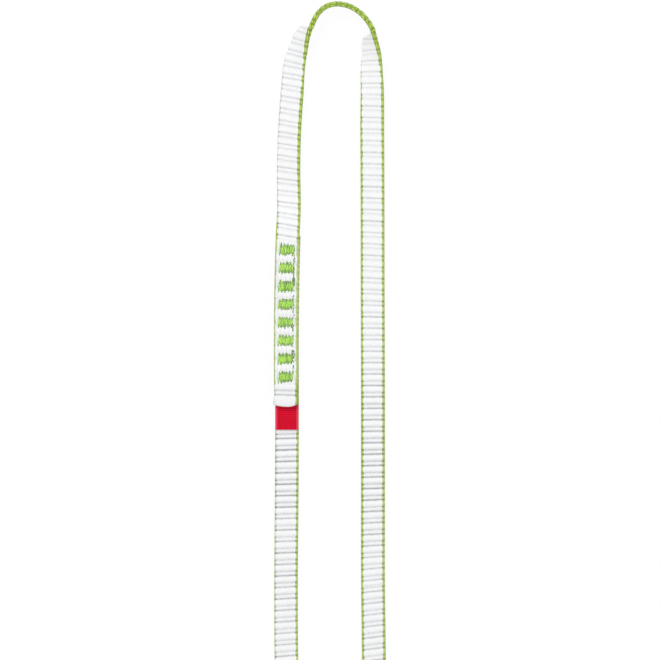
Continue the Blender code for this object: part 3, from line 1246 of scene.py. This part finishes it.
@dataclass
class Thread:
    """A twisted thread along a path in tape space."""

    space: TapeSpace
    diameter: float = 0.25
    flatness: float = 0.8
    sides: int = 8
    ply_depth: float = 0.12
    ply_turn: float = 0.6
    step: float = 0.16
    divisions: int = 6
    end_taper: float = 0.5
    hollow_shade: float = 0.30
    ply_shade: float = 0.35
    side_shade: float = 0.35
    girth: float = 1.1
    fewest: int = 4

    TINY = 1e-6

    def smooth(self, path: np.ndarray) -> np.ndarray:
        """Run a smooth line through a path, with even steps.

        Args:
            path: the points of the path, each with its tone as a fourth number.

        Returns:
            The finer points.
        """
        padded = np.vstack([2 * path[0] - path[1], path, 2 * path[-1] - path[-2]])
        t = np.linspace(0, 1, self.divisions, endpoint=False)[:, None]
        runs = []
        for a, b, c, d in zip(padded, padded[1:], padded[2:], padded[3:]):
            square, cube = 2 * a - 5 * b + 4 * c - d, 3 * b - a - 3 * c + d
            runs.append(0.5 * (2 * b + (c - a) * t + square * t**2 + cube * t**3))
        fine = np.vstack(runs + [path[-1:]])
        steps = np.linalg.norm(np.diff(fine[:, :3], axis=0), axis=1)
        walked = np.concatenate([[0], np.cumsum(steps)])
        places = np.linspace(0, walked[-1], max(self.fewest, int(walked[-1] / self.step)))
        return np.stack([np.interp(places, walked, column) for column in fine.T], axis=-1)

    def skin(self, path: np.ndarray) -> Skin:
        """Sweep the thread's round, twisted section along a path.

        Args:
            path: points as (across, height, along, tone).

        Returns:
            The thread in tape space.
        """
        fine = self.smooth(path)
        line, tone = fine[:, :3], fine[:, 3:]
        ahead = np.gradient(line, axis=0)
        ahead /= np.linalg.norm(ahead, axis=1, keepdims=True)
        up = np.array([0.0, 1.0, 0.0])
        beside = np.cross(ahead, up)
        beside /= np.maximum(np.linalg.norm(beside, axis=1, keepdims=True), self.TINY)
        over = np.cross(beside, ahead)
        walked = np.concatenate([[0], np.cumsum(np.linalg.norm(np.diff(line, axis=0), axis=1))])
        angles = ring_angles(self.sides)[None, :]
        lay = np.cos(2 * angles + 2 * math.pi * walked[:, None] / self.ply_turn)
        radius = self.diameter / 2 * (1 - self.ply_depth * (0.5 - 0.5 * lay))
        taper = np.ones(len(line))
        taper[0] = taper[-1] = self.end_taper
        radius = radius * taper[:, None]
        points = (
            line[:, None, :]
            + beside[:, None, :] * (radius * np.cos(angles))[..., None]
            + over[:, None, :] * (radius * np.sin(angles) * self.flatness)[..., None]
        )
        # Painted light on the plies' crests and on the thread's top and underside; painted shade between
        # plies.
        crest = self.ply_shade * (0.5 + 0.5 * lay)
        shade = self.hollow_shade + crest + self.side_shade * np.abs(np.sin(angles)) * np.ones_like(lay)
        return Skin(*np.moveaxis(points, -1, 0), unit(shade * tone), girth=self.girth)


@dataclass(frozen=True)
class SewingPass:
    """One pass of the needle to and fro over a tack: its strokes, their length, height and tone."""

    strokes: int
    share: float
    height: float
    tone: float


@dataclass
class Stitching:
    """The bar tacks on one face of the lap, and the thread's steps from tack to tack."""

    space: TapeSpace
    stitches: StitchField
    face: Face
    # The lower passes are painted darker, as shade beneath the upper ones, and the uppermost lightest.
    passes: tuple[SewingPass, ...] = (
        SewingPass(9, 1.34, 0.0, 0.62),
        SewingPass(11, 1.02, 0.06, 0.95),
        SewingPass(15, 0.76, 0.13, 1.6),
    )
    sink: float = 0.30
    crown: float = 0.10
    uneven: float = 0.34
    side_clear: float = 0.15
    drift: float = 0.05
    hang: Span = (0.2, 0.7)
    rest: float = 0.14
    hole_tone: float = 0.3
    tone_range: Span = (0.75, 1.3)
    dark_share: float = 0.32
    dark_tone: float = 0.45
    step_diameter: float = 0.30
    step_points: int = 15
    step_ends: Span = (-0.5, -0.7)
    step_drift: float = 0.12
    step_rest: float = 0.06
    step_dip: float = 0.32
    dip_share: float = 0.3
    step_tones: Span = (0.3, 2.4)
    loop_points: int = 14
    loop_turn: Span = (-0.5, 1.4)
    loop_rest: float = 0.12
    loop_tone: float = 3.0
    travel_side: float = 2.35
    travel_tone: float = 0.04
    looped: tuple[int, ...] = (2, 6)
    loop_radii: Span = (0.34, 1.35)
    rng: np.random.Generator = field(default_factory=lambda: np.random.default_rng(SEED + 1))

    # Share along a stroke and its lift there; the lift also scales the tone, painting shade where the
    # thread sinks.
    ARCH = ((0.12, 0.45), (0.3, 0.9), (0.5, 1.0), (0.7, 0.9), (0.88, 0.45))

    @property
    def way(self) -> int:
        """Which way this face looks: 1 up, -1 down."""
        return 1 if self.face is Face.UPPER else -1

    @property
    def start(self) -> float:
        """Where this face's lap starts along the tape."""
        return 0.0 if self.face is Face.UPPER else self.space.route.length

    def _surface(self, from_end: np.ndarray) -> np.ndarray:
        """Say how high the cloth's face is at distances from the upper cut end."""
        return self.space.thickness / 2 + self.stitches.pull(np.asarray(from_end, dtype=float))

    def tack_path(self, middle: float) -> np.ndarray:
        """Trace a bar tack: zigzags to and fro over each other, with a needle hole at every turn.

        Args:
            middle: the tack's distance from the upper cut end.

        Returns:
            The path as (across, height, along, tone), for a lap that starts at 0.
        """
        half = self.stitches.length / 2
        reach = self.stitches.width / 2 - self.side_clear
        hang = self.rng.uniform(*self.hang)
        cloth = float(self._surface(middle))
        points = []
        for turn, needle in enumerate(self.passes):
            count = needle.strokes + 1
            places = (-1) ** turn * np.linspace(-reach, reach, count)
            places = places + self.rng.normal(0, self.drift, count)
            ends = np.where((np.arange(count) + turn) % 2, half, -half) * needle.share
            ends = ends + self.rng.uniform(-self.uneven, self.uneven, count) * needle.share
            low = np.where(ends < 0, hang * (0.5 - places / (2 * reach)), 0.0)
            ends = middle + ends - low
            top = self.rest + needle.height + self.crown
            for number in range(needle.strokes):
                first = np.array([places[number], ends[number]])
                last = np.array([places[number + 1], ends[number + 1]])
                # Some strokes are painted dark, as lying in shade, and each is painted darker at its needle
                # hole.
                light = self.rng.random() > self.dark_share
                tone = needle.tone * (self.rng.uniform(*self.tone_range) if light else self.dark_tone)
                points.append((first[0], cloth - self.sink, first[1], self.hole_tone * tone))
                for share, lift in self.ARCH:
                    place = first + (last - first) * share
                    points.append((place[0], cloth + top * lift, place[1], tone * lift))
        points.append((places[-1], cloth - self.sink, ends[-1], 1.0))
        path = np.array(points)
        path[:, 0] += self.stitches.shift
        return path

    def travel_path(self, number: int, middle: float) -> np.ndarray:
        """Trace the thread's step over the swell of cloth from one tack to the next.

        Args:
            number: the first tack's number; some are followed by a loose loop of the thread.
            middle: the first tack's distance from the upper cut end.

        Returns:
            The path as (across, height, along, tone), for a lap that starts at 0.
        """
        count = self.step_points
        begin, end = (self.stitches.length / 2 + clear for clear in self.step_ends)
        along = np.linspace(middle + begin, middle + self.stitches.pitch + end, count)
        across = self.travel_side + self.rng.normal(0, self.step_drift, count)
        dipped = self.rng.uniform(0, 1, count) < self.dip_share
        height = self._surface(along) + self.step_rest - self.step_dip * dipped
        height[[0, -1]] -= self.sink
        # The steps are painted far darker than the tacks, as thread lying in shade; the loops a little
        # less.
        tone = self.travel_tone * self.rng.uniform(*self.step_tones, count)
        path = np.stack([across, height, along, tone], axis=-1)
        if number not in self.looped:
            return path
        turn = np.linspace(*(math.pi * share for share in self.loop_turn), self.loop_points)
        beside, lengthways = self.loop_radii
        loop_across = self.travel_side + beside * np.cos(turn)
        loop_along = middle + lengthways * (1.0 + np.sin(turn))
        loop_height = self._surface(loop_along) + self.loop_rest
        loop_tone = np.full(self.loop_points, self.loop_tone * self.travel_tone)
        loop = np.stack([loop_across, loop_height, loop_along, loop_tone], axis=-1)
        return np.vstack([loop, path])

    def build(self, finish: bpy.types.Material) -> list[bpy.types.Object]:
        """Make every bar tack and step of this face.

        Args:
            finish: the sewing thread's material.

        Returns:
            The pieces, from the cut end on.
        """
        thread = Thread(self.space)
        stepping = Thread(self.space, diameter=self.step_diameter)
        face = self.face.value
        pieces = []
        for number, middle in enumerate(self.stitches.middles(), start=1):
            sewn = [("tack", "bar_tack", thread, self.tack_path(middle))]
            if number < self.stitches.count:
                sewn.append(("step", "travel_stitch", stepping, self.travel_path(number, middle)))
            for name, node, kind, path in sewn:
                laid = path * np.array([1.0, self.way, 1.0, 1.0]) + np.array([0.0, 0.0, self.start, 0.0])
                mesh = kind.skin(laid).mesh(f"{name}_{face}_{number}", self.space)
                pieces.append(add_piece(mesh, finish, "thread_green", f"{node}_{face}_{number}"))
        return pieces


# ---------------------------------------------------------------- the label


@dataclass
class Label:
    """The bare woven label: a short ribbon folded once, its tails under the upper tape's end."""

    space: TapeSpace
    width: float = 7.55
    ply: float = 0.22
    fold_gap: float = 0.16
    reach: float = 8.2
    tuck: float = 9.2
    gap: float = 0.05
    step: float = 0.12
    columns: int = 40
    rib: float = 0.62
    rib_depth: float = 0.05
    edge_band: float = 0.68
    edge_rise: float = 0.04
    edge_blur: float = 0.12
    edge_smooth: float = 0.5
    tail_inset: float = 0.27
    tail_run: Span = (-0.6, 1.6)
    hollow_shade: float = 0.10
    inner_shade: float = 0.5
    edge_worn: float = 0.8

    def skin(self) -> Skin:
        """Model the folded ribbon.

        Returns:
            The ribbon in tape space.
        """
        radius = (self.ply + self.fold_gap) / 2
        middle = self.space.thickness / 2 + self.gap + self.ply + self.fold_gap / 2
        fold = -self.reach + radius + self.ply / 2
        straight = self.tuck - fold
        bend = math.pi * radius
        walked = np.arange(0.0, 2 * straight + bend, self.step)
        angle = np.clip((walked - straight) / radius, 0.0, math.pi)
        along = np.where(walked < straight, self.tuck - walked, fold - radius * np.sin(angle))
        along = np.where(walked > straight + bend, fold + walked - straight - bend, along)
        height = middle + radius * np.cos(angle)
        normal_high, normal_long = np.cos(angle), -np.sin(angle)
        columns = np.linspace(-1, 1, self.columns)
        inset = (1 - np.abs(columns)) * self.width / 2
        half = self.width / 2 - self.tail_inset * rise(along, *self.tail_run)[:, None]
        edge = fall(inset, self.edge_band - self.edge_blur, self.edge_band)
        waves = np.abs(np.sin(math.pi * walked / self.rib))[:, None]
        ribs = self.rib_depth * waves * (1 - self.edge_smooth * edge)[None, :]
        outer = self.ply / 2 + ribs + self.edge_rise * edge[None, :] - self.rib_depth
        inner = -np.full_like(outer, self.ply / 2)
        offset = both_faces(outer, inner)
        across = both_faces(columns[None, :], columns[None, :]) * half + 0 * offset
        ridged = self.hollow_shade + (1 - self.hollow_shade) * ribs / self.rib_depth
        shade = both_faces(ridged, np.full_like(ribs, self.inner_shade))
        worn = both_faces(self.edge_worn * edge[None, :], np.zeros_like(edge)[None, :])
        return Skin(
            across,
            height[:, None] + normal_high[:, None] * offset,
            self.space.route.length + along[:, None] + normal_long[:, None] * offset,
            unit(shade),
            worn,
            girth=2 * self.width,
        )

    def build(self, groups: Groups) -> bpy.types.Object:
        """Make the label, standing for its CAD node."""
        mesh = self.skin().mesh("label_ribbon_folded", self.space)
        return add_piece(mesh, LABEL_RIBBON.material(groups), "label_red", "label")


# ---------------------------------------------------------------- the table, the light and the camera


@dataclass(frozen=True)
class Studio:
    """The pale table, the soft light and the camera straight above."""

    view_size: float = 0.2129
    crown_to_middle: float = 0.106
    distance: float = 8.0
    sensor: float = 36.0
    clip: Span = (0.1, 100.0)
    table_size: float = 3.0
    table_drop: float = 0.0002
    shadow_share: float = 0.06
    table_grey: float = 0.93
    room_strength: float = 0.62
    lamps: tuple[tuple[str, Point, float, float], ...] = (
        ("key", (-0.3, 0.75, 0.95), 7.2, 0.5),
        ("fill", (0.6, -0.5, 1.1), 4.0, 0.8),
    )

    def camera(self) -> None:
        """Hang the camera over the far half of the loop, looking straight down."""
        lens = bpy.data.cameras.new("camera")
        lens.sensor_width = self.sensor
        lens.lens = self.sensor * self.distance / self.view_size
        lens.clip_start, lens.clip_end = self.clip
        eye = add_object("camera", lens)
        eye.location = (0.0, LAID_LENGTH / 2 * MM - self.crown_to_middle, self.distance)
        bpy.context.scene.camera = eye

    @staticmethod
    def _seen(graph: Graph) -> bpy.types.NodeSocket:
        """Tell the rays that show the backdrop itself: to the eye, mirrored or through glass.

        Args:
            graph: the graph of the backdrop's material.

        Returns:
            1 for those rays, 0 for the rest.
        """
        path = graph.node("ShaderNodeLightPath")
        mirrored = graph.maths("MAXIMUM", path.outputs["Is Camera Ray"], path.outputs["Is Glossy Ray"])
        return graph.maths("MAXIMUM", mirrored, path.outputs["Is Transmission Ray"])

    def table(self) -> None:
        """Lay the table: white to the eye, and keeping a part of the runner's shadow."""
        shape = bmesh.new()
        bmesh.ops.create_grid(shape, x_segments=1, y_segments=1, size=self.table_size / 2)
        bmesh.ops.translate(shape, verts=shape.verts, vec=(0, 0, -self.table_drop))
        mesh = bpy.data.meshes.new("table")
        shape.to_mesh(mesh)
        shape.free()
        material = bpy.data.materials.new("table")
        material.use_nodes = True
        graph = Graph(material.node_tree)
        material.node_tree.nodes.clear()
        matt = graph.node("ShaderNodeBsdfDiffuse", {"Color": (*[self.table_grey] * 3, 1.0)})
        glow = graph.node("ShaderNodeEmission", {"Color": WHITE, "Strength": 1.0})
        share = graph.maths("MULTIPLY", self._seen(graph), 1 - self.shadow_share)
        mix = graph.node("ShaderNodeMixShader", {0: share, 1: matt.outputs[0], 2: glow.outputs[0]})
        graph.node("ShaderNodeOutputMaterial", {"Surface": mix.outputs[0]})
        mesh.materials.append(material)
        table = add_object("table", mesh)

    def light(self) -> None:
        """Light the table softly from all round, with two large lamps above."""
        world = bpy.data.worlds.new("room")
        world.use_nodes = True
        graph = Graph(world.node_tree)
        world.node_tree.nodes.clear()
        room = graph.node("ShaderNodeBackground", {"Color": WHITE, "Strength": self.room_strength})
        white = graph.node("ShaderNodeBackground", {"Color": WHITE, "Strength": 1.0})
        mix = graph.node(
            "ShaderNodeMixShader", {0: self._seen(graph), 1: room.outputs[0], 2: white.outputs[0]}
        )
        graph.node("ShaderNodeOutputWorld", {"Surface": mix.outputs[0]})
        bpy.context.scene.world = world
        for name, place, power, size in self.lamps:
            lamp = bpy.data.lights.new(name, "AREA")
            lamp.energy = power
            lamp.size = size
            stand = add_object(name, lamp)
            stand.location = place
            stand.rotation_mode = "QUATERNION"
            stand.rotation_quaternion = (-Vector(place)).to_track_quat("-Z", "Y")


# ---------------------------------------------------------------- the whole


def declare_cord(space: TapeSpace) -> None:
    """Work out points along the tape's middle line, from one cut end to the other; nothing uses them.

    Args:
        space: where the tape lies.
    """
    last = space.end - CORD_INSET
    along = np.append(np.arange(CORD_INSET, last, CORD_STEP), last)
    path = space.place(np.zeros_like(along), np.zeros_like(along), along)


def corners(bounds: tuple[Vector, Vector]) -> list[list[float]]:
    """Return the two corners of a box as plain lists."""
    return [list(corner) for corner in bounds]


def main() -> None:
    """Load the frame, make every piece of the runner, report it and light it."""
    logging.basicConfig(level=logging.INFO, format="%(name)s %(message)s")
    for thing in list(bpy.data.objects):
        bpy.data.objects.remove(thing)
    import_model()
    bpy.context.scene.view_settings.view_transform = "Standard"
    studio = Studio()
    studio.camera()
    space = TapeSpace(Route(route_points()), Lap())
    groups = Groups()
    weave = Weave(space)
    stitches = StitchField(space)
    binding = Binding()
    core, *others = Ground(space, weave, binding, stitches).build(groups)
    others += [Selvedge(space, weave, binding, side).build(groups) for side in Side]
    others.append(Label(space).build(groups))
    thread = SEWING_THREAD.material(groups)
    threads = [piece for face in Face for piece in Stitching(space, stitches, face).build(thread)]
    declare_cord(space)
    for piece in (core, *others, *threads):
        LOG.info("%s: %d faces", piece.name, len(piece.data.polygons))
    studio.table()
    studio.light()


if __name__ == "__main__":
    main()
